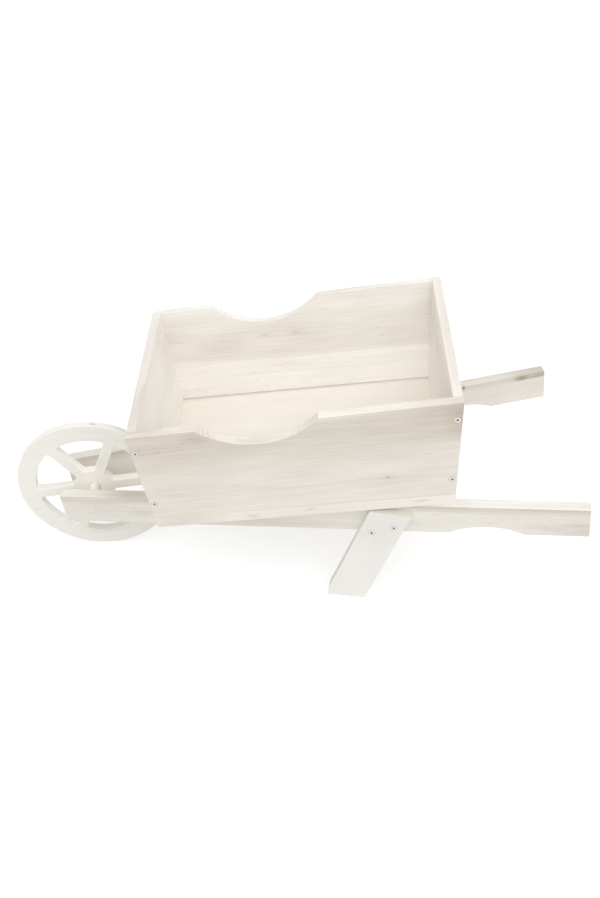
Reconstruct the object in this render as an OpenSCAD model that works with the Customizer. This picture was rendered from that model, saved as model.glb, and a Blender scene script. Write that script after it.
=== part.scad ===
// Wheelbarrow planter: a splayed tray on two converging rails, with a spoked wheel and two legs.
// Lengths are in millimetres and angles in degrees.
// Most pieces are drawn in the barrow's own frame: axle centre at the origin, rails level, x towards
// the handles. stand() then tips that frame so that the wheel and both feet rest on z = 0.
// Left and right are those of a person who stands behind the handles, so left is -y.

/* [Part to show] */
// One sub-part, or all of them

/* [Stance] */
// Rise of the rails towards the handles, which the legs' length follows
tilt = 5.1; // [3:0.1:8]

/* [Rails] */
// Length of each rail along its inner face
rail_length = 690; // [600:5:780]
// Height of a rail, which stands on edge
rail_height = 45; // [38:1:55]
// Thickness of a rail
rail_thick = 15; // [12:1:20]
// Length of rail ahead of the axle
rail_nose = 35; // [25:1:50]
// Gap between the rails' inner faces at the axle
rail_gap = 72; // [60:1:90]
// Angle of each rail to the barrow's centre line
rail_splay = 9.07; // [7:0.1:11]
// Distance from the axle to the middle of the grip notch
grip_middle = 530; // [500:1:560]
// Depth of the grip notch
grip_depth = 11; // [6:0.5:16]
// Radius of the grip notch
grip_radius = 103; // [80:1:140]
// Distance that the right rail sits further forward than the left one
rail_stagger = 8; // [0:1:10]

/* [Tray] */
// Length of the floor
floor_length = 378; // [330:1:420]
// Width of the floor
floor_width = 260; // [230:2:280]
// Thickness of the floor
floor_thick = 15; // [12:1:18]
// Distance from the axle to the floor's front edge
tray_front = 107; // [107:1:125]
// Distance of the tray's middle from the rails' middle
tray_offset = 8; // [0:1:10]
// Thickness of the four walls
wall_thick = 12; // [9:1:15]
// Outward lean of the side boards
side_lean = 4.5; // [2:0.5:9]
// Outward lean of the front board
front_lean = 2.8; // [1:0.2:3.4]
// Outward lean of the rear board
rear_lean = 4.6; // [1:0.2:8]
// Height of the walls at the front
front_height = 140; // [120:2:160]
// Height of the walls at the rear
rear_height = 150; // [130:2:180]
// Radius of the dip in each side board's top edge
dip_radius = 103; // [90:1:130]
// Depth of the dip
dip_depth = 30; // [15:1:40]
// Distance from the floor's front edge to the middle of the dip
dip_middle = 148; // [130:1:190]

/* [Legs] */
// Width of a leg
leg_width = 50; // [40:1:60]
// Thickness of a leg
leg_thick = 12; // [10:1:18]
// Forward lean of a leg, measured from square to the rail
leg_lean = 25; // [15:1:30]
// Distance from the floor's rear edge forward to the leg's top front corner
leg_setback = 99; // [75:1:120]
// Drop of that corner below the rail's top edge
leg_drop = 1.8; // [1:0.2:6]
// Slope of the leg's top edge against the rail
leg_top_slope = 8; // [0:1:20]
// Height of the clipped corner at the leg's toe
toe_clip = 14; // [6:1:20]

/* [Wheel] */
// Outer radius of the wheel
wheel_radius = 106; // [95:1:106]
// Thickness of the wheel
wheel_thick = 12; // [10:1:18]
// Width of the rim
rim_width = 25; // [18:1:30]
// Radius of the hub
hub_radius = 28; // [22:1:34]
// Number of spokes
spoke_count = 6; // [5:1:8]
// Width of a spoke
spoke_width = 14; // [10:1:18]
// Turn of the first spoke from level
spoke_turn = 3; // [0:1:59]
// Radius of the windows' corners
window_round = 4; // [2:0.5:6]
// Chamfer around the rim's outer edges
wheel_ease = 1; // [0.5:0.25:2]
// Chamfer around the bore's edges
bore_ease = 1; // [0.5:0.25:2]
// Diameter of the axle
axle_diameter = 15; // [12:1:18]
// Radial clearance of the axle in the rails
axle_clearance = 0.05; // [0.02:0.01:0.1]

/* [Screws] */
// Diameter of a screw's head
head_diameter = 8; // [7:0.5:9]
// Diameter of a screw's shank
shank_diameter = 4; // [3:0.5:4.5]
// Height of a head's rim above the wood
head_proud = 0.3; // [0.1:0.1:0.6]
// Length of the screws that join the walls
tray_screw_length = 38; // [30:1:45]
// Length of the screws that hold the legs
leg_screw_length = 24; // [20:1:26]
// Length of the screws that hold the walls to the floor
floor_screw_length = 38; // [30:1:45]
// Length of the screws that hold the rails to the floor
rail_screw_length = 38; // [34:1:40]
// Depth of the floor screws' heads below the floor's underside
floor_screw_sink = 0.5; // [0.5:0.1:1]
// Depth of the counterbore for a rail's screw
rail_screw_sink = 18; // [17:1:20]
// Height of the lower wall screws above the floor
low_screw = 27; // [20:1:40]
// Distance of the upper wall screws below the walls' top
high_screw = 25.5; // [18:0.5:40]
// Distance along the rail between a leg's two screws
leg_screw_gap = 29; // [22:1:32]

/* [Hidden] */
$fn = 96;
eps = 0.01;
// reach of the shapes that cut a piece off at a plane, and of those that only run past it
big = 1000;
over = 50;
rail_top = rail_height / 2;
tray_base = rail_top + floor_thick;
rear_reach = rail_length - rail_nose;
// x of the handles' ends once the barrow is tipped
handle_x = rear_reach * cos(rail_splay) * cos(tilt) + rail_top * sin(tilt);
shift_x = (wheel_radius - handle_x) / 2;
// the right handle reaches out less than the left one
shift_y = rail_stagger * sin(rail_splay) / 2;
half_floor = floor_width / 2;
front_shift = front_height * tan(front_lean);
rear_shift = rear_height * tan(rear_lean);
wall_across = wall_thick / cos(side_lean);
half_inside = half_floor - wall_across;
// height of the side boards' top edge above the dip's middle
top_at_dip = front_height + (rear_height - front_height) * (dip_middle + front_shift)
    / (floor_length + front_shift + rear_shift);
axle_length = rail_gap + 2 * rail_thick / cos(rail_splay);
shank_r = shank_diameter / 2;
head_r = head_diameter / 2;
head_rim = 0.4;
recess_length = 4.6;
recess_width = 1.1;
recess_depth = 1.8;
point_length = 4;
// how far the windows' fillets lap into what they meet
fillet_lap = 0.05;
leg_place = tray_front + floor_length - leg_setback;
// place of each leg's two screws, along the rail and up from its middle
leg_screw_spots = [
    [leg_place, -rail_height * 0.35],
    [leg_place + leg_screw_gap, -rail_height * 0.13]
];
// places of the floor screws along each side and across each end
side_screw_spots = [0.16, 0.5, 0.84];
end_screw_spot = 0.26;
// places of a rail's two screws along it, the rear one well ahead of the leg's screws
rail_screw_lead = 32;
rail_screw_spots = [(tray_front + 0.25 * floor_length) / cos(rail_splay), leg_place - rail_screw_lead];
wood = [0.93, 0.905, 0.86];
end_wood = [0.90, 0.87, 0.81];
zinc = [0.72, 0.73, 0.74];

// Tips the barrow's own frame onto the ground.
module stand() {
    translate([shift_x, shift_y, wheel_radius])
        rotate([0, -tilt, 0])
            children();
}

// Everything below the ground, in the barrow's own frame.
module ground() {
    rotate([0, tilt, 0])
        translate([-big, -big, -wheel_radius - big])
            cube([2 * big, 2 * big, big]);
}

// Draws its children on the left, or mirrored on the right.
module on_side(right) {
    if (right)
        mirror([0, 1, 0])
            children();
    else
        children();
}

// Left rail's frame: x along the inner face from the axle, outer side at -y.
module rail_frame() {
    translate([0, -rail_gap / 2, 0])
        rotate([0, 0, -rail_splay])
            children();
}

// Frame of the tray's left side board: x along it, y up it, outer face at z = 0.
module side_frame() {
    translate([tray_front, -half_floor, tray_base])
        rotate([90 + side_lean, 0, 0])
            children();
}

// The tray sits a little to one side of the rails.
module tray_frame() {
    translate([0, tray_offset, 0])
        children();
}

// A countersunk screw that points down from z = 0.
module screw(length) {
    difference() {
        rotate_extrude($fn = 32)
            polygon([
                [0, head_proud],
                [head_r, head_proud],
                [head_r, -head_rim],
                [shank_r, -head_rim - head_r + shank_r],
                [shank_r, point_length - length],
                [0, -length],
            ]);
        for (turn = [0, 90])
            rotate([0, 0, turn])
                translate([-recess_length / 2, -recess_width / 2, head_proud - recess_depth])
                    cube([recess_length, recess_width, recess_depth + 1]);
    }
}

// The hole that a screw fills.
module screw_hole(length) {
    rotate_extrude($fn = 32)
        polygon([
            [0, 2],
            [head_r, 2],
            [head_r, -head_rim],
            [shank_r, -head_rim - head_r + shank_r],
            [shank_r, point_length - length],
            [0, -length],
        ]);
}

// Places of the two wall screws at one end of the left side board.
module wall_screw_places() {
    for (up = [low_screw, front_height - high_screw])
        side_frame()
            translate([wall_thick / 2 - up * tan(front_lean), up, 0])
                children();
    for (up = [low_screw, rear_height - high_screw])
        side_frame()
            translate([floor_length - wall_thick / 2 + up * tan(rear_lean), up, 0])
                children();
}

// Places of the leg screws on the left leg's outer face.
module leg_screw_places() {
    rail_frame()
        for (spot = leg_screw_spots)
            translate([spot[0], -rail_thick - leg_thick, spot[1]])
                rotate([90, 0, 0])
                    children();
}

// Places of the screws that come up through the floor, one side's and half of each end's.
module floor_screw_places() {
    for (part = side_screw_spots)
        translate([
            tray_front + part * floor_length,
            -half_floor + wall_thick / 2,
            rail_top + floor_screw_sink
        ])
            rotate([180, 0, 0])
                children();
    for (x = [tray_front + wall_thick / 2, tray_front + floor_length - wall_thick / 2])
        translate([x, -end_screw_spot * floor_width, rail_top + floor_screw_sink])
            rotate([180, 0, 0])
                children();
}

// Places of the screws that come up through the left rail into the floor.
module rail_screw_places() {
    rail_frame()
        for (along = rail_screw_spots)
            translate([along, -rail_thick / 2, -rail_top + rail_screw_sink])
                rotate([180, 0, 0])
                    children();
}

// Rail on edge, with the axle's bore, the grip notch and the screws' holes.
module rail(right) {
    ahead = right ? rail_stagger : 0;
    color(wood)
        stand()
            on_side(right)
                difference() {
                    rail_frame()
                        translate([-rail_nose - ahead, -rail_thick, -rail_top])
                            cube([rail_length, rail_thick, rail_height]);
                    rail_frame()
                        translate([grip_middle - ahead, eps, -rail_top + grip_depth - grip_radius])
                            rotate([90, 0, 0])
                                cylinder(r = grip_radius, h = rail_thick + 2 * eps, $fn = 180);
                    rotate([90, 0, 0])
                        cylinder(r = axle_diameter / 2 + axle_clearance, h = axle_length);
                    leg_screw_places()
                        screw_hole(leg_screw_length);
                    rail_screw_places()
                        screw_hole(rail_screw_length);
                    rail_screw_places()
                        cylinder(r = head_r + 0.5, h = rail_height);
                }
}

// Leg: a board cut to the ground at its foot, with a clipped toe.
module leg(right) {
    slope = tan(leg_lean);
    top_z = rail_top - leg_drop;
    across = leg_width / (cos(leg_lean) + sin(leg_lean) * tan(leg_top_slope));
    heel_top = [leg_place + across, top_z - across * tan(leg_top_slope)];
    // where the front edge would meet the ground
    ground_slope = tan(tilt) * cos(rail_splay);
    toe_x = (leg_place / slope - top_z - wheel_radius / cos(tilt)) / (1 / slope + ground_slope);
    toe_z = top_z - (leg_place - toe_x) / slope;
    under = 1.2 * over;
    color(wood)
        stand()
            on_side(right)
                difference() {
                    rail_frame()
                        translate([0, -rail_thick, 0])
                            rotate([90, 0, 0])
                                linear_extrude(leg_thick)
                                    polygon([
                                        [leg_place, top_z],
                                        [toe_x + toe_clip * slope, toe_z + toe_clip],
                                        [toe_x + toe_clip * slope / 2, toe_z],
                                        [toe_x + toe_clip * slope / 2, toe_z - under],
                                        heel_top - [1, 1 / slope] * (heel_top[1] - toe_z + under) * slope,
                                        heel_top,
                                    ]);
                    ground();
                    leg_screw_places()
                        screw_hole(leg_screw_length);
                }
}

// Side board: leans outward, with a round dip in its top edge.
module side_board(right) {
    color(wood)
        stand()
            tray_frame()
                on_side(right)
                    difference() {
                        side_frame()
                            translate([0, 0, -wall_thick])
                                linear_extrude(wall_thick)
                                    polygon([
                                        [0, 0],
                                        [0, -5],
                                        [floor_length, -5],
                                        [floor_length, 0],
                                        [floor_length + rear_shift, rear_height],
                                        [-front_shift, front_height],
                                    ]);
                        side_frame()
                            translate([dip_middle, top_at_dip - dip_depth + dip_radius, -wall_thick - eps])
                                cylinder(r = dip_radius, h = wall_thick + 2 * eps, $fn = 180);
                        translate([-big, -big, tray_base - big])
                            cube([2 * big, 2 * big, big]);
                        wall_screw_places()
                            screw_hole(tray_screw_length);
                        floor_screw_places()
                            screw_hole(floor_screw_length);
                    }
}

// The space between the side boards, as a long prism.
module between_sides(height) {
    top = half_inside + height * tan(side_lean);
    translate([tray_front - 2 * over, 0, tray_base])
        rotate([90, 0, 90])
            linear_extrude(floor_length + 4 * over)
                polygon([[-half_inside, 0], [half_inside, 0], [top, height], [-top, height]]);
}

// Front or rear board, drawn at the front with its outer face on x = 0.
module end_slab(lean, height) {
    rotate([0, -lean, 0])
        translate([0, -half_floor - over, -over])
            cube([wall_thick, floor_width + 2 * over, height + over]);
}

// Holes of the wall and floor screws, on both sides of the tray.
module end_board_holes() {
    for (right = [false, true])
        on_side(right) {
            wall_screw_places()
                screw_hole(tray_screw_length);
            floor_screw_places()
                screw_hole(floor_screw_length);
        }
}

module front_board() {
    color(wood)
        stand()
            tray_frame()
                difference() {
                    intersection() {
                        between_sides(front_height + over);
                        translate([tray_front, 0, tray_base])
                            end_slab(front_lean, front_height);
                    }
                    end_board_holes();
                }
}

module rear_board() {
    color(wood)
        stand()
            tray_frame()
                difference() {
                    intersection() {
                        between_sides(rear_height + over);
                        translate([tray_front + floor_length, 0, tray_base])
                            mirror([1, 0, 0])
                                end_slab(rear_lean, rear_height);
                    }
                    end_board_holes();
                }
}

module floor_board() {
    color(wood)
        stand()
            difference() {
                tray_frame()
                    translate([tray_front, -half_floor, rail_top])
                        cube([floor_length, floor_width, floor_thick]);
                tray_frame()
                    for (right = [false, true])
                        on_side(right)
                            floor_screw_places()
                                screw_hole(floor_screw_length);
                for (right = [false, true])
                    on_side(right)
                        rail_screw_places()
                            screw_hole(rail_screw_length);
            }
}

// Fills the corner between a spoke and a circle of the wheel, in plan.
// side is 1 at the hub, whose circle bulges into the window, and -1 at the rim.
module corner_fill(circle_r, side) {
    reach = window_round - fillet_lap;
    centre_r = circle_r + side * reach;
    y = spoke_width / 2 + reach;
    x = sqrt(centre_r * centre_r - y * y);
    difference() {
        polygon([
            [x, spoke_width / 2 - 1],
            [x, y],
            [x, y] * (circle_r - side) / centre_r,
            [x - side * (window_round + 2), spoke_width / 2 - 1],
        ]);
        translate([x, y])
            circle(r = window_round, $fn = 48);
    }
}

// Plan of the windows between the spokes.
module window_plan() {
    difference() {
        circle(r = wheel_radius - rim_width, $fn = 120);
        circle(r = hub_radius);
        for (i = [0 : spoke_count - 1])
            rotate(spoke_turn + i * 360 / spoke_count) {
                translate([0, -spoke_width / 2])
                    square([wheel_radius, spoke_width]);
                for (flip = [0, 1])
                    mirror([0, flip]) {
                        corner_fill(hub_radius, 1);
                        corner_fill(wheel_radius - rim_width, -1);
                    }
            }
    }
}

module wheel() {
    half = wheel_thick / 2;
    bore = axle_diameter / 2;
    color(wood)
        stand()
            rotate([90, 0, 0])
                difference() {
                    rotate_extrude($fn = 180)
                        polygon([
                            [bore + bore_ease, -half],
                            [wheel_radius - wheel_ease, -half],
                            [wheel_radius, -half + wheel_ease],
                            [wheel_radius, half - wheel_ease],
                            [wheel_radius - wheel_ease, half],
                            [bore + bore_ease, half],
                            [bore, half - bore_ease],
                            [bore, bore_ease - half],
                        ]);
                    linear_extrude(2 * wheel_thick, center = true)
                        window_plan();
                }
}

module axle() {
    color(end_wood)
        stand()
            rotate([90, 0, 0])
                cylinder(r = axle_diameter / 2, h = axle_length, center = true);
}

module tray_screws() {
    color(zinc)
        stand()
            tray_frame()
                for (right = [false, true])
                    on_side(right)
                        wall_screw_places()
                            screw(tray_screw_length);
}

module leg_screws() {
    color(zinc)
        stand()
            for (right = [false, true])
                on_side(right)
                    leg_screw_places()
                        screw(leg_screw_length);
}

module floor_screws() {
    color(zinc)
        stand()
            tray_frame()
                for (right = [false, true])
                    on_side(right)
                        floor_screw_places()
                            screw(floor_screw_length);
}

module rail_screws() {
    color(zinc)
        stand()
            for (right = [false, true])
                on_side(right)
                    rail_screw_places()
                        screw(rail_screw_length);
}

rail(false);  // left_rail
rail(true);  // right_rail
leg(false);  // left_leg
leg(true);  // right_leg
side_board(false);  // left_side_board
side_board(true);  // right_side_board
front_board();
rear_board();
floor_board();
wheel();
axle();
tray_screws();
leg_screws();
floor_screws();
rail_screws();
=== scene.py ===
"""A small whitewashed wheelbarrow planter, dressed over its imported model."""

import math

import bmesh
import bpy
from mathutils import Matrix, Vector


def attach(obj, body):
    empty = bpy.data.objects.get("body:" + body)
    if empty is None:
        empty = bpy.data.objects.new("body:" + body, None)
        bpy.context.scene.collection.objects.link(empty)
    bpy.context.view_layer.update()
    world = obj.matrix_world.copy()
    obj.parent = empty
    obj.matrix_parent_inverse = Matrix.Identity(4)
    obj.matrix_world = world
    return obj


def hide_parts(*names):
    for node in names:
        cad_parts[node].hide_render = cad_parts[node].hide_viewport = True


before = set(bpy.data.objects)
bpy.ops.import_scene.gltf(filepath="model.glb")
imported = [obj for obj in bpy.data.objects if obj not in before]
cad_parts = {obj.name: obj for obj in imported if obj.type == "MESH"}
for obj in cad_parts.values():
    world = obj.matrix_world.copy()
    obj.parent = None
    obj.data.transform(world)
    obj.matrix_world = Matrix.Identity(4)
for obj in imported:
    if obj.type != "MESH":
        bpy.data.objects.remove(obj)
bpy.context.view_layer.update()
scene = bpy.context.scene

MM = 0.001

# The barrow's sizes, in millimetres and degrees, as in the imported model.
TILT = 5.1
SPLAY = 9.07
RAIL_GAP = 72
RAIL_LENGTH = 690
RAIL_NOSE = 35
RAIL_HEIGHT = 45
RAIL_THICK = 15
RAIL_STAGGER = 8
FLOOR_LENGTH = 378
FLOOR_WIDTH = 260
FLOOR_THICK = 15
TRAY_FRONT = 107
TRAY_OFFSET = 8
WALL_THICK = 12
SIDE_LEAN = 4.5
FRONT_LEAN = 2.8
REAR_LEAN = 4.6
FRONT_HEIGHT = 140
REAR_HEIGHT = 150
LEG_THICK = 12
LEG_LEAN = 25
LEG_SETBACK = 99
LEG_PLACE = TRAY_FRONT + FLOOR_LENGTH - LEG_SETBACK
LEG_SCREW_GAP = 29
WHEEL_RADIUS = 106
HUB_RADIUS = 28
AXLE_RADIUS = 7.5
LOW_SCREW = 27
HIGH_SCREW = 25.5
RAIL_TOP = RAIL_HEIGHT / 2
TRAY_BASE = RAIL_TOP + FLOOR_THICK
# Places of a leg's two screws, along the rail and up from its middle.
LEG_SCREW_SPOTS = (
    (LEG_PLACE, -0.35 * RAIL_HEIGHT),
    (LEG_PLACE + LEG_SCREW_GAP, -0.13 * RAIL_HEIGHT),
)

# The screws: a countersunk head with a cross recess.
HEAD_RADIUS = 4
HEAD_SIDES = 32
HEAD_PROUD = 0.3
HEAD_RIM = 0.4
# Steps of the head's dome, inwards and up.
HEAD_DOME = ((0.35, 0), (0.9, 0.12), (1.2, 0.08))
SHANK_RADIUS = 2
POINT_LENGTH = 4
# How wide the point's tip is beside the shank.
POINT_TIP = 0.05
RECESS_ARM = 2.3
RECESS_WIDTH = 1.1
RECESS_DEPTH = 1.8
# How long and wide a slot of the recess is at its bottom, beside its top.
RECESS_BOTTOM = (0.5, 0.6)
# How far a cutter reaches past the surface that it cuts.
CUT_OVERRUN = 1
# A face is a top or a bottom when its normal's height is above this.
LEVEL = 0.99
WALL_SCREW_LENGTH = 38
LEG_SCREW_LENGTH = 24
# Each screw was driven home at its own angle, this much past the one before.
SCREW_TURN = 37

# How far each arris is sanded round.
BOARD_EASE = 0.8
WHEEL_EASE = 0.7
DOWEL_EASE = 0.5
# Rows of faces across a sanded arris.
EASE_STEPS = 3
# Corners closer than this are merged, and so are faces that meet at a smaller angle.
MERGE_GAP = 0.01
FLAT_ANGLE = 0.5
# Edges sharper than this can be an arris, and the wheel's square ones are sharper still.
ARRIS_ANGLE = 30
WHEEL_ARRIS_ANGLE = 55
# How strongly the large faces keep the shading beside an arris flat.
FLAT_WEIGHT = 100
# Edges sharper than this stay sharp to the eye.
BOARD_CREASE = 35
SCREW_CREASE = 32
# The edges round a board's screw holes are shorter than this.
HOLE_EDGE = 2.5


def turn(axis, degrees):
    """A turn about one axis."""
    return Matrix.Rotation(math.radians(degrees), 4, axis)


def move(x, y, z):
    """A move by millimetres."""
    return Matrix.Translation((x * MM, y * MM, z * MM))


def lean(height, degrees):
    """How far a leaning board's edge goes sideways over a height."""
    return height * math.tan(math.radians(degrees))


def handle_reach():
    """How far behind the axle the left handle ends, once the barrow is tipped."""
    along = (RAIL_LENGTH - RAIL_NOSE) * math.cos(math.radians(SPLAY))
    return along * math.cos(math.radians(TILT)) + RAIL_TOP * math.sin(math.radians(TILT))


# Frames of the pieces. STAND and TRAY are in the row's frame, RAIL is inside STAND and SIDE inside TRAY.
SHIFT_X = (WHEEL_RADIUS - handle_reach()) / 2
SHIFT_Y = RAIL_STAGGER * math.sin(math.radians(SPLAY)) / 2
STAND = move(SHIFT_X, SHIFT_Y, WHEEL_RADIUS) @ turn("Y", -TILT)
TRAY = STAND @ move(0, TRAY_OFFSET, 0)
OTHER_SIDE = Matrix.Scale(-1, 4, (0, 1, 0))
BOTH_SIDES = (Matrix.Identity(4), OTHER_SIDE)
RAIL = move(0, -RAIL_GAP / 2, 0) @ turn("Z", -SPLAY)
SIDE = move(TRAY_FRONT, -FLOOR_WIDTH / 2, TRAY_BASE) @ turn("X", 90 + SIDE_LEAN)
# Turns a board's own x across the barrow and its y upwards.
ACROSS = turn("Z", 90) @ turn("X", 90)

# Frames of the wood's grain: x runs along the grain, y across it and z through the board. Those of the
# rails and legs are inside STAND.
RAIL_GRAIN = RAIL @ turn("X", 90)
LEG_GRAIN = RAIL @ move(LEG_PLACE, 0, 0) @ turn("X", 90) @ turn("Z", 90 - LEG_LEAN)
FRONT_GRAIN = TRAY @ move(TRAY_FRONT, 0, TRAY_BASE) @ turn("Y", -FRONT_LEAN) @ ACROSS
REAR_GRAIN = TRAY @ move(TRAY_FRONT + FLOOR_LENGTH, 0, TRAY_BASE) @ turn("Y", REAR_LEAN) @ ACROSS
FLOOR_GRAIN = TRAY @ move(TRAY_FRONT, 0, RAIL_TOP)
WHEEL_GRAIN = STAND @ turn("X", 90)
AXLE_GRAIN = STAND @ turn("Z", 90)


def deselect():
    """Leaves no object selected."""
    for thing in bpy.context.selected_objects:
        thing.select_set(False)


def activate(piece):
    """Makes one object the only one selected, for the operators that follow."""
    deselect()
    piece.select_set(True)
    bpy.context.view_layer.objects.active = piece


# Finishes: colours are sRGB hex values, sizes are millimetres on the wood.

# A Mix node's own sockets for colours.
MIX_A = 6
MIX_B = 7
MIX_RESULT = 2

# Softwood, drawn a little coarser than real so that it shows at the photograph's size.
FIBRE_LENGTH = 80
FIBRE_WIDTH = 1.7
DASH_LENGTH = 13
DASH_WIDTH = 1.3
BLOTCH_LENGTH = 110
BLOTCH_WIDTH = 26
FADE_WIDTH = 13
FLOCK_LENGTH = 143
WARP_LENGTH = 190
WARP_WIDTH = 48
WARP_DEPTH = 3.5
GRAIN_DEPTH = 0.09
GLUE_LINE = 0.5
HOLE_RIM = 1.2
# How far apart the noise of two glued strips lies, and how rough all of it is.
STRIP_STEP = 3.7
NOISE_ROUGHNESS = 0.55

# The noise values at which each kind of mark begins and is full.
LATE_WOOD = (-0.2, 1)
RING_FADE = (0.3, 0.7)
FIBRE_SPAN = (0.35, 0.7)
DASH_SPAN = (0.62, 0.74)
FLOCK_SPAN = (0.46, 0.66)
BLOTCH_SPAN = (0.3, 0.7)
# How squarely a face looks along the board where end grain begins and is full.
END_SPAN = (0.3, 0.85)

# How much of the deep colour each kind of mark adds where it is full.
RING_SHADE = 0.2
END_RING_SHADE = 0.7
FIBRE_SHADE = 0.3
DASH_SHADE = 0.7
BLOTCH_SHADE = 0.2
KNOT_SHADE = 0.9
HALO_SHADE = 0.12
RIM_SHADE = 1.0

# A knot is drawn out along the grain. Its parts reach this many of its radii.
KNOT_STRETCH = 0.4
KNOT_CORE = 0.3
KNOT_HALO = 4
KNOT_SWIRL = 7

WOOD_ROUGHNESS = (0.62, 0.86)
WOOD_BUMP = 0.8
# The dark rings lie a little lower than the fibre between them.
RING_HEIGHT = -0.4
WOOD_IOR = 1.45

# A patch reaches this far through a board when it marks both of its faces.
THROUGH = 60

# Zinc plate: the size of its clouds, its gloss and how deep its clouds lie.
ZINC_CLOUD = 2.5
ZINC_ROUGHNESS = (0.24, 0.42)
ZINC_DEPTH = 0.02
ZINC_BUMP = 0.5


def linear(hex_colour):
    """An sRGB hex value as linear red, green, blue and full alpha."""
    parts = [int(hex_colour[i : i + 2], 16) / 255 for i in (1, 3, 5)]
    return [c / 12.92 if c <= 0.04045 else ((c + 0.055) / 1.055) ** 2.4 for c in parts] + [1]


def node(tree, kind, inputs, **settings):
    """Adds one shader node and gives its outputs. An input is a value or another node's output."""
    made = tree.nodes.new("ShaderNode" + kind)
    for name, value in settings.items():
        setattr(made, name, value)
    for socket, value in inputs.items():
        if isinstance(value, bpy.types.NodeSocket):
            tree.links.new(value, made.inputs[socket])
        else:
            made.inputs[socket].default_value = value
    return made.outputs


def grain_mapping(place):
    """Mapping settings that turn Object coordinates into millimetres in a board's own frame."""
    back = place.inverted()
    spin = back.to_3x3()
    mirror = -1 if spin.determinant() < 0 else 1
    spin = spin @ Matrix.Diagonal((1, mirror, 1))
    return {
        "Location": back.translation / MM,
        "Rotation": spin.to_euler(),
        "Scale": (1 / MM, mirror / MM, 1 / MM),
    }


# A Map Range node's setting for a soft start and a soft end.
SMOOTH = {"interpolation_type": "SMOOTHSTEP"}


def rising(value, low, high, top=1.0):
    """Map Range inputs that go from 0 to top while a value goes from low to high."""
    return {"Value": value, "From Min": low, "From Max": high, "To Max": top}


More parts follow.
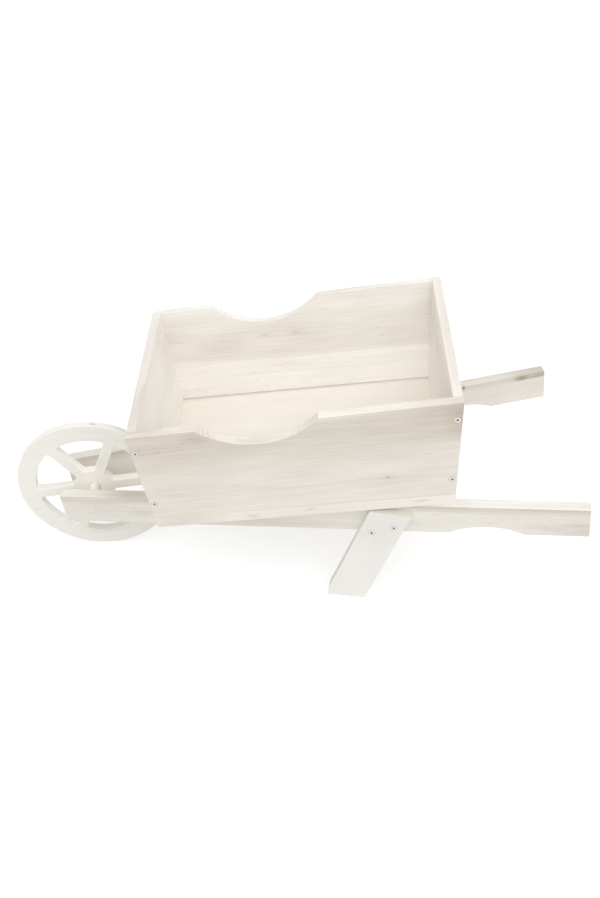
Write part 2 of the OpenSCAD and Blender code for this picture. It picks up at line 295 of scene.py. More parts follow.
def softwood(
    name, place, colours, seed, heart, ring, figure,
    thin=0.0, bands=(), streaks=(), patches=(), knots=(), holes=(),
):
    """Planed pine under a thin whitewash: the growth rings, dashes and knots show faintly through it.

    colours are the wash's own, the one where it is thin and the end grain's. heart is the tree's middle
    seen from the board's frame: across, through, and how much nearer it comes per millimetre along.
    ring is the rings' spacing. figure is how strongly the grain shows, and thin how thin the wash is.
    bands are (height, shade) of the strips that the board is glued from. streaks are (start, darkest,
    end, shade) across the board's faces. patches are (place, reach, shade) of soft ovals, some where the
    wash lies thinner or thicker and some painted light and shade. knots and holes are (along, across,
    radius).
    """
    pale, deep, end = (linear(colour) for colour in colours)
    material = bpy.data.materials.new(name)
    material.use_nodes = True
    tree = material.node_tree
    shader = tree.nodes["Principled BSDF"]
    surface = node(tree, "TexCoord", {})
    spot = node(tree, "Mapping", {"Vector": surface["Object"], **grain_mapping(place)})[0]
    along, across, through = node(tree, "SeparateXYZ", {"Vector": spot})

    strip = seed
    shades = [thin]
    for height, shade in bands:
        above = node(tree, "MapRange", rising(across, height - GLUE_LINE, height))[0]
        strip = node(tree, "Math", {0: above, 1: STRIP_STEP, 2: strip}, operation="MULTIPLY_ADD")[0]
        shades.append(node(tree, "Math", {0: above, 1: shade}, operation="MULTIPLY")[0])

    def noise(length, width, detail, output="Fac"):
        """Noise drawn out along the grain, which starts anew in each glued strip."""
        size = (1 / length, 1 / width, 1 / width)
        spread = node(tree, "VectorMath", {0: spot, 1: size}, operation="MULTIPLY")[0]
        inputs = {"Vector": spread, "W": strip, "Scale": 1, "Detail": detail}
        inputs["Roughness"] = NOISE_ROUGHNESS
        return node(tree, "TexNoise", inputs, noise_dimensions="4D")[output]

    def facing(direction):
        """How squarely a face looks along one of the board's own directions, from 0 to 1."""
        axis = (place.to_3x3() @ Vector(direction)).normalized()
        both = {0: surface["Normal"], 1: axis}
        square = node(tree, "VectorMath", both, operation="DOT_PRODUCT")["Value"]
        return node(tree, "Math", {0: square}, operation="ABSOLUTE")[0]

    def distance_from(centre, stretch):
        """How far a place on the board is from a centre, with each direction stretched."""
        away = node(tree, "VectorMath", {0: spot, 1: centre}, operation="SUBTRACT")[0]
        away = node(tree, "VectorMath", {0: away, 1: stretch}, operation="MULTIPLY")[0]
        return node(tree, "VectorMath", {0: away}, operation="LENGTH")["Value"]

    flat_face = facing((0, 0, 1))
    for start, darkest, stop, shade in streaks:
        rise = node(tree, "MapRange", rising(across, start, darkest, shade), **SMOOTH)[0]
        fall = node(tree, "MapRange", rising(across, stop, darkest), **SMOOTH)[0]
        line = node(tree, "Math", {0: rise, 1: fall}, operation="MULTIPLY")[0]
        shades.append(node(tree, "Math", {0: line, 1: flat_face}, operation="MULTIPLY")[0])
    for centre, reach, shade in patches:
        distance = distance_from(centre, [1 / size for size in reach])
        shades.append(node(tree, "MapRange", rising(distance, 1, 0, shade), **SMOOTH)[0])

    # Knots darken a spot and push the rings round them.
    swirl = 0.0
    for knot_x, knot_y, knot_radius in knots:
        distance = distance_from((knot_x, knot_y, 0), (KNOT_STRETCH, 1, 0))
        core = rising(distance, knot_radius, knot_radius * KNOT_CORE, KNOT_SHADE)
        shades.append(node(tree, "MapRange", core, **SMOOTH)[0])
        halo = rising(distance, knot_radius * KNOT_HALO, knot_radius, HALO_SHADE)
        shades.append(node(tree, "MapRange", halo, **SMOOTH)[0])
        push = rising(distance, knot_radius * KNOT_SWIRL, 0, ring)
        push = node(tree, "MapRange", push, **SMOOTH)[0]
        swirl = node(tree, "Math", {0: push, 1: swirl}, operation="ADD")[0]
    # A dark ring is painted round the rim of each drilled hole: painted shade in the gap round a screw
    # head or the axle.
    for hole_x, hole_y, hole_radius in holes:
        distance = distance_from((hole_x, hole_y, 0), (1, 1, 0))
        rim = rising(distance, hole_radius + HOLE_RIM, hole_radius, RIM_SHADE)
        shades.append(node(tree, "MapRange", rim, **SMOOTH)[0])

    # Growth rings round the tree's middle, which slants through the board.
    heart_y, heart_z, heart_slant = heart
    deeper = node(tree, "Math", {0: along, 1: heart_slant, 2: through}, operation="MULTIPLY_ADD")[0]
    cut = node(tree, "CombineXYZ", {"X": 0, "Y": across, "Z": deeper})[0]
    cut = node(tree, "VectorMath", {0: cut, 1: (0, heart_y, heart_z)}, operation="SUBTRACT")[0]
    wander = noise(WARP_LENGTH, WARP_WIDTH, 2, "Color")
    bent = {0: wander, 1: (0, WARP_DEPTH, WARP_DEPTH), 2: cut}
    bent = node(tree, "VectorMath", bent, operation="MULTIPLY_ADD")[0]
    radius = node(tree, "VectorMath", {0: bent}, operation="LENGTH")["Value"]
    radius = node(tree, "Math", {0: radius, 1: swirl}, operation="ADD")[0]
    phase = node(tree, "Math", {0: radius, 1: 2 * math.pi / ring}, operation="MULTIPLY")[0]
    wave = node(tree, "Math", {0: phase}, operation="SINE")[0]
    late_wood = node(tree, "MapRange", rising(wave, *LATE_WOOD), **SMOOTH)[0]
    fading = rising(noise(BLOTCH_LENGTH, FADE_WIDTH, 1), *RING_FADE)
    fading = node(tree, "MapRange", fading, **SMOOTH)[0]
    rings = node(tree, "Math", {0: late_wood, 1: fading}, operation="MULTIPLY")[0]
    shades.append(node(tree, "Math", {0: rings, 1: RING_SHADE * figure}, operation="MULTIPLY")[0])

    # Fine fibre all over, short dark dashes that stand in flocks, and broad blotches of thin wash.
    fibre = noise(FIBRE_LENGTH, FIBRE_WIDTH, 3)
    shades.append(node(tree, "MapRange", rising(fibre, *FIBRE_SPAN, FIBRE_SHADE * figure))[0])
    dashes = rising(noise(DASH_LENGTH, DASH_WIDTH, 1), *DASH_SPAN, DASH_SHADE * figure)
    dashes = node(tree, "MapRange", dashes, **SMOOTH)[0]
    flocks = rising(noise(FLOCK_LENGTH, BLOTCH_WIDTH, 1), *FLOCK_SPAN)
    flocks = node(tree, "MapRange", flocks, **SMOOTH)[0]
    shades.append(node(tree, "Math", {0: dashes, 1: flocks}, operation="MULTIPLY")[0])
    blotches = rising(noise(BLOTCH_LENGTH, BLOTCH_WIDTH, 2), *BLOTCH_SPAN, BLOTCH_SHADE * figure)
    shades.append(node(tree, "MapRange", blotches, **SMOOTH)[0])

    tone = shades[0]
    for shade in shades[1:]:
        tone = node(tree, "Math", {0: tone, 1: shade}, operation="ADD")[0]
    tone = node(tree, "Clamp", {"Value": tone})[0]
    mix = {"Factor": tone, MIX_A: pale, MIX_B: deep}
    face = node(tree, "Mix", mix, data_type="RGBA")[MIX_RESULT]

    # End grain soaks up more of the wash's water and looks darker.
    endness = node(tree, "MapRange", rising(facing((1, 0, 0)), *END_SPAN), **SMOOTH)[0]
    end_rings = node(tree, "Math", {0: rings, 1: END_RING_SHADE * figure}, operation="MULTIPLY")[0]
    mix = {"Factor": end_rings, MIX_A: end, MIX_B: deep}
    end_face = node(tree, "Mix", mix, data_type="RGBA")[MIX_RESULT]
    mix = {"Factor": endness, MIX_A: face, MIX_B: end_face}
    tree.links.new(node(tree, "Mix", mix, data_type="RGBA")[MIX_RESULT], shader.inputs["Base Color"])

    rough = {"Value": fibre, "To Min": WOOD_ROUGHNESS[0], "To Max": WOOD_ROUGHNESS[1]}
    tree.links.new(node(tree, "MapRange", rough)[0], shader.inputs["Roughness"])
    height = node(tree, "Math", {0: rings, 1: RING_HEIGHT, 2: fibre}, operation="MULTIPLY_ADD")[0]
    bump = {"Height": height, "Distance": GRAIN_DEPTH * MM, "Strength": WOOD_BUMP}
    tree.links.new(node(tree, "Bump", bump)[0], shader.inputs["Normal"])
    shader.inputs["IOR"].default_value = WOOD_IOR
    return material


def zinc_plate(name, dull, bright):
    """Zinc-plated steel: bluish grey, with faint cloudy patches and a soft gloss."""
    material = bpy.data.materials.new(name)
    material.use_nodes = True
    tree = material.node_tree
    shader = tree.nodes["Principled BSDF"]
    surface = node(tree, "TexCoord", {})
    cloud = {"Vector": surface["Object"], "Scale": 1 / (ZINC_CLOUD * MM), "Detail": 3}
    cloud = node(tree, "TexNoise", cloud)["Fac"]
    mix = {"Factor": cloud, MIX_A: linear(dull), MIX_B: linear(bright)}
    tree.links.new(node(tree, "Mix", mix, data_type="RGBA")[MIX_RESULT], shader.inputs["Base Color"])
    rough = {"Value": cloud, "To Min": ZINC_ROUGHNESS[0], "To Max": ZINC_ROUGHNESS[1]}
    tree.links.new(node(tree, "MapRange", rough)[0], shader.inputs["Roughness"])
    bump = {"Height": cloud, "Distance": ZINC_DEPTH * MM, "Strength": ZINC_BUMP}
    tree.links.new(node(tree, "Bump", bump)[0], shader.inputs["Normal"])
    shader.inputs["Metallic"].default_value = 1
    return material


def long_arrises(edge):
    """The edges of a board, but not the short ones round its screw holes."""
    return edge.calc_length() > HOLE_EDGE * MM


def wheel_arrises(edge):
    """The wheel's square edges, but not those in the middle of its hub."""
    middle = (edge.verts[0].co + edge.verts[1].co) / 2 - STAND.translation
    square = edge.calc_face_angle() > math.radians(WHEEL_ARRIS_ANGLE)
    return square and math.hypot(middle.x, middle.z) > HUB_RADIUS / 2 * MM


def sanded_copy(source, name, ease, chosen, body):
    """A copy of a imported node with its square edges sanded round."""
    piece = bpy.data.objects.new(name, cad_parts[source].data.copy())
    scene.collection.objects.link(piece)
    activate(piece)
    bpy.ops.object.mode_set(mode="EDIT")
    bpy.ops.mesh.select_all(action="SELECT")
    bpy.ops.mesh.remove_doubles(threshold=MERGE_GAP * MM)
    bpy.ops.mesh.dissolve_limited(angle_limit=math.radians(FLAT_ANGLE))
    bpy.ops.mesh.select_all(action="DESELECT")
    bpy.ops.mesh.select_mode(type="EDGE")
    mesh = bmesh.from_edit_mesh(piece.data)
    for edge in mesh.edges:
        arris = len(edge.link_faces) == 2 and edge.calc_face_angle() > math.radians(ARRIS_ANGLE)
        edge.select_set(arris and chosen(edge))
    bmesh.update_edit_mesh(piece.data)
    bpy.ops.mesh.bevel(offset=ease * MM, segments=EASE_STEPS, affect="EDGES", clamp_overlap=True)
    bpy.ops.object.mode_set(mode="OBJECT")
    bpy.ops.object.shade_smooth_by_angle(angle=math.radians(BOARD_CREASE))
    weighted = piece.modifiers.new("flat_faces", "WEIGHTED_NORMAL")
    weighted.keep_sharp = True
    weighted.weight = FLAT_WEIGHT
    bpy.ops.object.modifier_apply(modifier=weighted.name)
    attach(piece, body)
    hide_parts(source)
    return piece


def dress(piece, material):
    """Gives a piece one finish."""
    piece.data.materials.clear()
    piece.data.materials.append(material)


def board(source, name, finish, place, colours, **marks):
    """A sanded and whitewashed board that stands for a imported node."""
    piece = sanded_copy(source, name, BOARD_EASE, long_arrises, "barrow")
    dress(piece, softwood(f"whitewashed_pine_{finish}", place, colours, **marks))


def countersunk_screw(length, plate, recess):
    """A cross-head screw that points down from z = 0, shaped from a short cylinder."""
    depth = HEAD_PROUD + HEAD_RIM
    bpy.ops.mesh.primitive_cylinder_add(
        vertices=HEAD_SIDES,
        radius=HEAD_RADIUS * MM,
        depth=depth * MM,
        location=(0, 0, (HEAD_PROUD - depth / 2) * MM),
    )
    screw = bpy.context.object
    bpy.ops.object.transform_apply(location=True, rotation=True, scale=True)
    bpy.ops.object.mode_set(mode="EDIT")
    bpy.ops.mesh.select_mode(type="FACE")
    # Cone, shank and point: the lowest face is drawn down and made narrower in turn.
    for down, narrower in (
        (HEAD_RADIUS - SHANK_RADIUS, SHANK_RADIUS / HEAD_RADIUS),
        (length - POINT_LENGTH - HEAD_RIM - HEAD_RADIUS + SHANK_RADIUS, 1),
        (POINT_LENGTH, POINT_TIP),
    ):
        pick_face(screw, lowest=True)
        bpy.ops.mesh.extrude_region_move(TRANSFORM_OT_translate={"value": (0, 0, -down * MM)})
        bpy.ops.transform.resize(value=(narrower, narrower, 1))
    # The head's top is turned to a low dome.
    for inward, higher in HEAD_DOME:
        pick_face(screw, lowest=False)
        bpy.ops.mesh.inset(thickness=inward * MM)
        bpy.ops.transform.translate(value=(0, 0, higher * MM))
    bpy.ops.object.mode_set(mode="OBJECT")
    screw.data.materials.append(plate)
    for angle in (0, 90):
        cut_recess(screw, angle, recess)
    activate(screw)
    bpy.ops.object.shade_smooth_by_angle(angle=math.radians(SCREW_CREASE))
    return screw


def pick_face(piece, lowest):
    """Selects a piece's bottom face or its top one in edit mode, and nothing else."""
    bpy.ops.mesh.select_all(action="DESELECT")
    mesh = bmesh.from_edit_mesh(piece.data)
    mesh.faces.ensure_lookup_table()
    mesh.normal_update()
    way = -1 if lowest else 1
    faces = [face for face in mesh.faces if way * face.normal.z > LEVEL]
    faces.sort(key=lambda face: face.calc_center_median().z)
    faces[0 if lowest else -1].select_set(True)
    bmesh.update_edit_mesh(piece.data)


def cut_recess(screw, angle, finish):
    """Cuts one slot of the cross recess, narrower at its bottom. The cut faces keep its finish."""
    top = HEAD_PROUD + CUT_OVERRUN
    depth = RECESS_DEPTH + CUT_OVERRUN
    bpy.ops.mesh.primitive_cube_add(size=1, location=(0, 0, (top - depth / 2) * MM))
    cutter = bpy.context.object
    cutter.scale = (2 * RECESS_ARM * MM, RECESS_WIDTH * MM, depth * MM)
    bpy.ops.object.transform_apply(location=True, rotation=True, scale=True)
    bpy.ops.object.mode_set(mode="EDIT")
    bpy.ops.mesh.select_mode(type="FACE")
    pick_face(cutter, lowest=True)
    bpy.ops.transform.resize(value=(*RECESS_BOTTOM, 1))
    bpy.ops.object.mode_set(mode="OBJECT")
    cutter.data.materials.append(finish)
    cutter.rotation_euler.z = math.radians(angle)
    bpy.ops.object.transform_apply(location=True, rotation=True, scale=True)
    activate(screw)
    slot = screw.modifiers.new("recess", "BOOLEAN")
    slot.object = cutter
    slot.operation = "DIFFERENCE"
    slot.solver = "EXACT"
    slot.material_mode = "TRANSFER"
    bpy.ops.object.modifier_apply(modifier=slot.name)
    bpy.data.objects.remove(cutter)


def set_screws(pattern, places, name, source):
    """Copies a screw to each place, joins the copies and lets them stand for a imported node."""
    deselect()
    copies = []
    for count, place in enumerate(places):
        copy = bpy.data.objects.new(name, pattern.data.copy())
        copy.data.transform(place @ turn("Z", SCREW_TURN * count))
        scene.collection.objects.link(copy)
        copies.append(copy)
    for copy in copies:
        copy.select_set(True)
    bpy.context.view_layer.objects.active = copies[0]
    bpy.ops.object.join()
    screws = bpy.context.object
    screws.name = name
    bpy.data.objects.remove(pattern)
    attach(screws, "barrow")
    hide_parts(source)


def wall_screw_places():
    """The two screws at each end of each side board, head outwards."""
    places = []
    for side in BOTH_SIDES:
        for height, slope, edge, way in (
            (FRONT_HEIGHT, FRONT_LEAN, WALL_THICK / 2, -1),
            (REAR_HEIGHT, REAR_LEAN, FLOOR_LENGTH - WALL_THICK / 2, 1),
        ):
            for up in (LOW_SCREW, height - HIGH_SCREW):
                along = edge + way * lean(up, slope)
                # mirrored twice on the right, so that the screw isn't turned inside out
                places.append(TRAY @ side @ SIDE @ move(along, up, 0) @ side)
    return places


def leg_screw_places():
    """The two screws through each leg into its rail, head outwards."""
    places = []
    for side in BOTH_SIDES:
        for along, up in LEG_SCREW_SPOTS:
            spot = RAIL @ move(along, -RAIL_THICK - LEG_THICK, up) @ turn("X", 90)
            places.append(STAND @ side @ spot @ side)
    return places


def heads_on(frame_of_board, places):
    """Where screws stand in a board, in the board's own frame."""
    back = frame_of_board.inverted()
    spots = [(back @ place).translation / MM for place in places]
    return [(spot.x, spot.y, HEAD_RADIUS) for spot in spots]


# The boards and rails are warm white pine that yellows where the wash is thin and on their cut ends.
END_GRAIN = "#e6dfd3"
# The two boards whose inner faces show most are painted paler than the rest: painted light that
# brightens the shaded inside of the tray.
INNER_PALE_PAINTED_LIGHT = "#fdfbf7"
INNER_DEEP_PAINTED_LIGHT = "#d4cdc2"

# The near side board warms towards its top and its back end. A thin line along its foot is painted
# shadow in the joint with the floor, and its top edge and the dip's cut edge are painted darker towards
# the ends and lighter in the middle: painted shade and light on faces that look up at the lamps.
board(
    "left_side_board", "left_side_panel", "left_side", TRAY @ SIDE, ("#f1ebe2", "#c3b8a8", END_GRAIN),
    seed=2.3, heart=(-150, -60, 0.02), ring=3.6, figure=0.75, bands=((37, 0.0), (98, 0.03)),
    # The first streak is a painted shadow line in the joint with the floor.
    streaks=((-2, 0.6, 3, 0.2), (31, 37, 43, 0.1), (50, 125, 400, 0.3)),
    patches=(
        ((378, 135, 0), (70, 40, THROUGH), 0.16),
        ((390, 125, 0), (30, 50, THROUGH), 0.3),
        ((30, 80, 0), (70, 70, THROUGH), 0.08),
        # These ovals on the top edge and the dip's cut edge are painted shade and painted light.
        ((350, 152, 0), (60, 5, THROUGH), 0.3),
        ((200, 144, 0), (150, 6, THROUGH), -0.25),
        ((10, 143, 0), (60, 6, THROUGH), 0.6),
        ((130, 108, -6), (90, 16, 10), 0.5),
        ((75, 130, -6), (30, 22, 10), 0.4),
    ),
    knots=((297, 39.5, 1.7), (345, 176, 6)),
    holes=heads_on(TRAY @ SIDE, wall_screw_places()[:4]),
)

# The far side board shows its inner face, with a glue line above a dark line along its foot. The dark
# line is painted shadow in the joint with the floor. A broad dark oval is painted shade over the lamps'
# brightest pool, a dark band at its back end is painted shade in the corner by the rear board, lighter
# ovals near its back end are painted light against the shade there, and its top edge is painted darker,
# painted shade against the light from above.
board(
    "right_side_board", "right_side_panel", "right_side", TRAY @ OTHER_SIDE @ SIDE,
    (INNER_PALE_PAINTED_LIGHT, INNER_DEEP_PAINTED_LIGHT, "#f6f2ea"),
    seed=11.9, heart=(-130, 60, -0.02), ring=3.4, figure=0.7, bands=((56.5, 0.08),),
    streaks=(
        # The first streak is the painted shadow line at the foot.
        (-1, 1, 3.6, 1.1), (28, 40, 50, 0.06), (30, 32.5, 35, 0.12), (53, 56, 59, 0.16),
        (55.5, 62, 135, 0.2), (84, 112, 150, 0.13),
    ),
    patches=(
        # Painted shade over the lamps' brightest pool, then painted light towards the back end.
        ((165, 92, 0), (130, 75, THROUGH), 0.25),
        ((330, 120, 0), (60, 35, THROUGH), -0.15),
        ((280, 142, 0), (130, 14, THROUGH), 0.15),
        ((60, 120, 0), (60, 20, THROUGH), 0.12),
        ((90, 92, 0), (75, 24, THROUGH), 0.15),
        ((15, 118, 0), (60, 70, THROUGH), 0.22),
        # Painted shade in the corner by the rear board, then painted light beside it.
        ((384, 80, 0), (20, 150, THROUGH), 0.4),
        ((340, 30, 0), (120, 60, THROUGH), -0.17),
        ((378, 90, 0), (60, 110, THROUGH), -0.1),
        # The painted shadow line at the foot is fainter towards the back.
        ((350, 2, 0), (100, 5, THROUGH), -0.35),
        ((70, 75, 0), (60, 25, THROUGH), 0.2),
        # Painted shade along the top edge.
        ((190, 149, 0), (300, 8, THROUGH), 0.3),
    ),
    knots=((186, 93, 1.9), (143, 93, 1.4)),
    holes=heads_on(TRAY @ OTHER_SIDE @ SIDE, wall_screw_places()[4:]),
)

# The front board's top edge is painted darker, painted shade against the light that falls on it from
# above, and a thin line along its foot is painted shadow in the joint with the floor.
board(
    "front_board", "front_panel", "front", FRONT_GRAIN, (INNER_PALE_PAINTED_LIGHT, INNER_DEEP_PAINTED_LIGHT, END_GRAIN),
    seed=5.1, heart=(-110, -60, 0.02), ring=4.2, figure=0.55, thin=0.06, bands=((70, 0.03),),
    # A painted shadow line in the joint with the floor.
    streaks=((-1, 0.5, 2.2, 0.3),),
    patches=(
        ((-70, 70, 0), (80, 90, THROUGH), -0.08),
        ((105, 90, 0), (75, 80, THROUGH), 0.26),
        # Painted shade along the top edge.
        ((-80, 141, 0), (160, 3.5, THROUGH), 0.8),
        ((45, 141, 0), (80, 4, THROUGH), 0.5),
        ((110, 141, 0), (60, 3.5, THROUGH), 0.2),
    ),
    knots=((-28, 65, 1.8),),
)

# The rear board is brushed whiter high up inside, and painted paler than the near side board, painted
# light inside the tray. Its top edge is painted darker, painted shade against the light from above, a
# thin line along its foot is painted shadow in the joint with the floor, and a dark line at its near end
# is painted shadow in the joint with the near side board.
board(
    "rear_board", "rear_panel", "rear", REAR_GRAIN, ("#f9f4ed", "#d2cabd", END_GRAIN),
    seed=17.4, heart=(-120, 70, 0.02), ring=4.0, figure=0.7, bands=((74, 0.04),),
    # A painted shadow line in the joint with the floor.
    streaks=((-1, 0.5, 2.2, 0.3),),
    patches=(
        ((0, 144, -12), (150, 16, 6), -0.3),
        ((110, 70, -12), (45, 120, 6), 0.15),
        # Painted shade along the top edge, then a painted shadow line in the joint at the near end.
        ((0, 152, -6), (300, 4.5, THROUGH), 0.56),
        ((-131, 150, 0), (2.5, 14, THROUGH), 0.9),
    ),
    knots=((40, 105, 2.0),),
)

# The floor board is painted paler than the near side board and lighter towards the end boards, painted
# light against the tray's shade, and darker beside the far side board, painted shadow by that joint. It
# shows figure along its near edge.
board(
    "floor_board", "floor_panel", "floor", FLOOR_GRAIN, ("#f2ede5", "#d0c9bd", END_GRAIN),
    seed=8.8, heart=(-190, -80, 0.02), ring=5.0, figure=0.4, bands=((-44, 0.03), (42, 0.02)),
    # Painted shadow by the joint with the far side board.
    streaks=((112, 124, 136, 0.35),),
    patches=(
        # Painted light towards the end boards, then painted shade beside the far side board.
        ((378, 40, 0), (130, 70, THROUGH), -0.2),
        ((110, 40, 0), (90, 25, THROUGH), -0.12),
        ((60, -20, 0), (110, 110, THROUGH), -0.2),
        ((150, 100, 0), (220, 35, THROUGH), 0.12),
        ((30, -130, 7), (75, 4, THROUGH), 0.5),
        ((190, -130, 7), (200, 4, THROUGH), 0.15),
        ((124, -130, 6), (12, 4, 5), 0.5),
        ((198, -130, 10), (10, 4, 4), 0.4),
        ((336, -130, 9), (16, 4, 4), 0.5),
    ),
)

# The left rail darkens towards its handle's end. A darker band along the top of its faces is painted
# shadow under the tray, and the top of its nose and the stretches under and just behind the tray are
# painted darker: painted shade where the tray overhangs it.
board(
    "left_rail", "left_shaft", "left_rail", STAND @ RAIL_GRAIN, ("#f3f0e9", "#c6beb0", END_GRAIN),
    # The streak is painted shadow under the tray.
    seed=21.0, heart=(-70, 50, 0.02), ring=4.2, figure=0.6, thin=0.06, streaks=((8, 21, 22.5, 0.5),),
    patches=(
        ((0, 4, 0), (120, 60, THROUGH), 0.22),
        ((75, -4, 0), (35, 12, THROUGH), 0.25),
        ((15, 19, 0), (70, 6, THROUGH), -0.35),
        # Painted shade where the tray overhangs the rail.
        ((75, 25, 0), (100, 4.5, THROUGH), 0.8),
        ((50, 24, 7), (110, 4, THROUGH), 0.42),
        ((290, -16, 0), (140, 14, THROUGH), 0.2),
        ((445, 24, 7), (75, 5, THROUGH), 0.45),
        ((595, -8, 0), (50, 10, THROUGH), 0.2),
        ((660, -12, 0), (90, 45, THROUGH), 0.38),
        ((640, -4, 0), (34, 4, THROUGH), 0.3),
    ),
)

# The right rail has dark marks along its handle, so its grain runs to a deeper colour. Its colour is
# paler than the left rail's and its nose paler still, painted light where the wheel shades it between
# the rails, and a darker band along the top of its faces is painted shadow under the tray.
board(
    "right_rail", "right_shaft", "right_rail", STAND @ OTHER_SIDE @ RAIL_GRAIN,
    ("#f8f3ea", "#968a7a", END_GRAIN),
    # The streak is painted shadow under the tray.
    seed=26.5, heart=(-70, 50, 0.02), ring=4.2, figure=0.33, thin=0.09, streaks=((10, 21.5, 22.5, 0.2),),
    patches=(
        # Painted light on the nose.
        ((60, 0, 0), (100, 40, THROUGH), -0.2),
        ((560, 25, 0), (140, 5, THROUGH), 0.28),
        ((640, 25, 6), (75, 7, THROUGH), 0.45),
        ((640, 0, 0), (50, 30, THROUGH), 0.1),
        ((640, 16.5, 0), (60, 2.8, 6), 0.42),
        ((645, 20, 0), (45, 5, 6), 0.2),
        ((612, 18.3, 0), (16, 6.5, 8), 0.45),
        ((528, 19.5, 0), (4, 5, 12), 0.7),
    ),
)

# The legs are a cooler white than the boards, and darker where they lap the rails.
for which, side, seed, screws in (
    ("left", Matrix.Identity(4), 23.0, leg_screw_places()[:2]),
    ("right", OTHER_SIDE, 28.5, leg_screw_places()[2:]),
):
    board(
        f"{which}_leg", f"{which}_foot", f"{which}_leg", STAND @ side @ LEG_GRAIN,
        ("#f0efea", "#cbc7be", "#d6d2c8"),
        seed=seed, heart=(-90, -40, 0.01), ring=6.0, figure=0.28,
        patches=(((0, -15, 0), (75, 60, THROUGH), 0.36),),
        holes=heads_on(STAND @ side @ LEG_GRAIN, screws),
    )

# The wheel's panel is painted whiter round the hub and along one spoke, painted light where the rails
# and tray shade them, and darker on the rim below the near rail, painted shade. Its cut edges are
# painted whiter than its faces, painted light on the window flanks. It has a dark dash on its tread and
# is darker along the tread's far edge.
wheel = sanded_copy("wheel", "spoked_wheel", WHEEL_EASE, wheel_arrises, "wheel")
dress(wheel, softwood(
    # The end colour is whiter than the faces: painted light on the window flanks.
    "whitewashed_panel_wheel", WHEEL_GRAIN, ("#faf7ef", "#cdcdca", "#fbfaf6"),
    seed=31.0, heart=(30, -120, 0.04), ring=8.0, figure=0.25, thin=0.2,
    patches=(
        # Painted light round the hub and along a spoke, then painted shade on the rim below the near
        # rail.
        ((0, 0, 0), (50, 50, THROUGH), -0.36),
        ((65, 5, 0), (45, 18, THROUGH), -0.36),
        ((-5, -76, 0), (50, 16, THROUGH), 0.3),
        ((22, 106, 0), (9, 9, 3.5), 1.0),
        ((68, 97, -5), (32, 32, 14), 1.2),
    ),
    # A painted shade ring round the axle.
    holes=((0, 0, AXLE_RADIUS),),
))

# The dowel is plain pine with fine rings on its ends.
dowel = sanded_copy("axle", "dowel_axle", DOWEL_EASE, lambda edge: True, "wheel")
dress(dowel, softwood(
    "whitewashed_dowel", AXLE_GRAIN, ("#f6f3ec", "#cdc4b5", "#e6e0d5"),
    seed=36.0, heart=(2, 3, 0.0), ring=2.2, figure=0.6,
))

zinc = zinc_plate("bright_zinc", "#c2c3c4", "#e8e7e5")
# The cross recess is deep and catches hardly any light.
shaded_zinc = zinc_plate("shaded_zinc", "#3a3a3c", "#57585a")
wall_screw = countersunk_screw(WALL_SCREW_LENGTH, zinc, shaded_zinc)
set_screws(wall_screw, wall_screw_places(), "wall_screws", "tray_screws")
leg_screw = countersunk_screw(LEG_SCREW_LENGTH, zinc, shaded_zinc)
set_screws(leg_screw, leg_screw_places(), "leg_fixings", "leg_screws")
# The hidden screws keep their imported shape.
for hidden in ("floor_screws", "rail_screws"):
    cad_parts[hidden].data.materials.clear()
    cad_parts[hidden].data.materials.append(zinc)

# The photograph's view: angles in degrees, lengths in millimetres, taken about the axle.
VIEW_HEIGHT = 39.45
VIEW_TURN = 0.49
VIEW_DISTANCE = 1391.86
VIEW_TARGET = (283.67, 0, 64.92)
VIEW_PITCH = 6.75
VIEW_NEAR = 50
# Pixels, but the sensor's width is in millimetres.
VIEW_FOCUS = 1033.98
FRAME_SIZE = (600, 898)
SENSOR = 36

WHITE = (1, 1, 1, 1)


def look():
    """Sets the camera where the photograph was taken."""
    rise = math.radians(VIEW_HEIGHT)
    swing = math.radians(VIEW_TURN)
    level = math.cos(rise)
    back = Vector((math.sin(swing) * level, -math.cos(swing) * level, math.sin(rise)))
    right = Vector((math.cos(swing), math.sin(swing), 0))
    up = back.cross(right)
    pose = Matrix((right, up, back)).transposed().to_4x4()
    pose.translation = (Vector(VIEW_TARGET) + back * VIEW_DISTANCE) * MM
    data = bpy.data.cameras.new("photo_camera")
    data.sensor_width = SENSOR
    data.lens = VIEW_FOCUS * SENSOR / max(FRAME_SIZE)
    data.clip_start = VIEW_NEAR * MM
    camera = bpy.data.objects.new("photo_camera", data)
    scene.collection.objects.link(camera)
    camera.matrix_world = STAND @ turn("Y", VIEW_PITCH) @ pose
    scene.camera = camera


def seen_directly(tree):
    """1 for rays that go from the camera, a gloss or a glass to the surface, else 0."""
    path = node(tree, "LightPath", {})
    seen = {0: path["Is Camera Ray"], 1: path["Is Glossy Ray"]}
    seen = node(tree, "Math", seen, operation="MAXIMUM")[0]
    return node(tree, "Math", {0: seen, 1: path["Is Transmission Ray"]}, operation="MAXIMUM")[0]


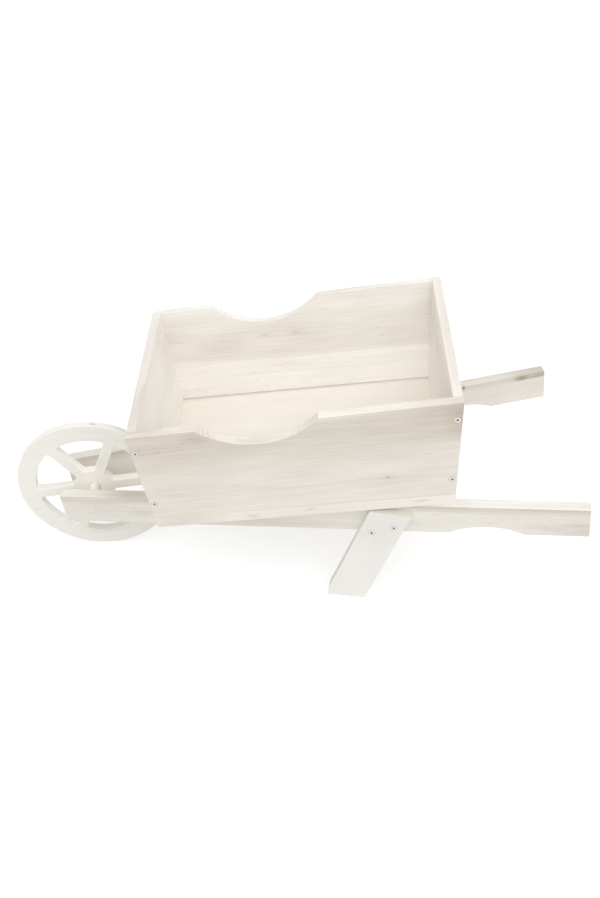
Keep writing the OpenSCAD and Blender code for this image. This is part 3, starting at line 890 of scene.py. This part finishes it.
# Soft studio light: a white room, two wide lamps above the camera that reach into the tray, and a
# weaker one low behind.
ROOM_LIGHT = 0.48
LAMP_WIDTH = 80
LAMPS = {
    "left_lamp": ((-0.55, -0.7, 1), 1.05),
    "right_lamp": ((0.6, -0.7, 1), 1.4),
    "back_lamp": ((0.1, 1, 0.3), 0.6),
}


def light():
    """Sets up the room's light and the lamps."""
    world = bpy.data.worlds.new("studio")
    scene.world = world
    world.use_nodes = True
    tree = world.node_tree
    seen = seen_directly(tree)
    strength = node(tree, "MapRange", {"Value": seen, "To Min": ROOM_LIGHT, "To Max": 1})[0]
    room = tree.nodes["Background"]
    room.inputs["Color"].default_value = WHITE
    tree.links.new(strength, room.inputs["Strength"])
    for name, (direction, energy) in LAMPS.items():
        data = bpy.data.lights.new(name, "SUN")
        data.energy = energy
        data.angle = math.radians(LAMP_WIDTH)
        lamp = bpy.data.objects.new(name, data)
        scene.collection.objects.link(lamp)
        lamp.rotation_euler = Vector(direction).to_track_quat("Z", "Y").to_euler()


# Grey paper throws less light up at the barrow, and its own glow makes it white to the eye.
PAPER_GREY = 0.62
PAPER_GLOW = 0.5
PAPER_ROUGHNESS = 0.9
PAPER_WIDTH = 14000
PAPER_DROP = 0.5


def studio_floor():
    """Paper that keeps a soft shadow and shows as white."""
    deselect()
    bpy.ops.mesh.primitive_plane_add(size=PAPER_WIDTH * MM, location=(0, 0, -PAPER_DROP * MM))
    paper = bpy.context.object
    paper.name = "studio_floor"
    material = bpy.data.materials.new("studio_paper")
    material.use_nodes = True
    tree = material.node_tree
    shader = tree.nodes["Principled BSDF"]
    shader.inputs["Base Color"].default_value = (PAPER_GREY, PAPER_GREY, PAPER_GREY, 1)
    shader.inputs["Roughness"].default_value = PAPER_ROUGHNESS
    shader.inputs["Emission Color"].default_value = WHITE
    glow = node(tree, "Math", {0: seen_directly(tree), 1: PAPER_GLOW}, operation="MULTIPLY")[0]
    tree.links.new(glow, shader.inputs["Emission Strength"])
    paper.data.materials.append(material)


look()
light()
studio_floor()
scene.view_settings.view_transform = "Standard"
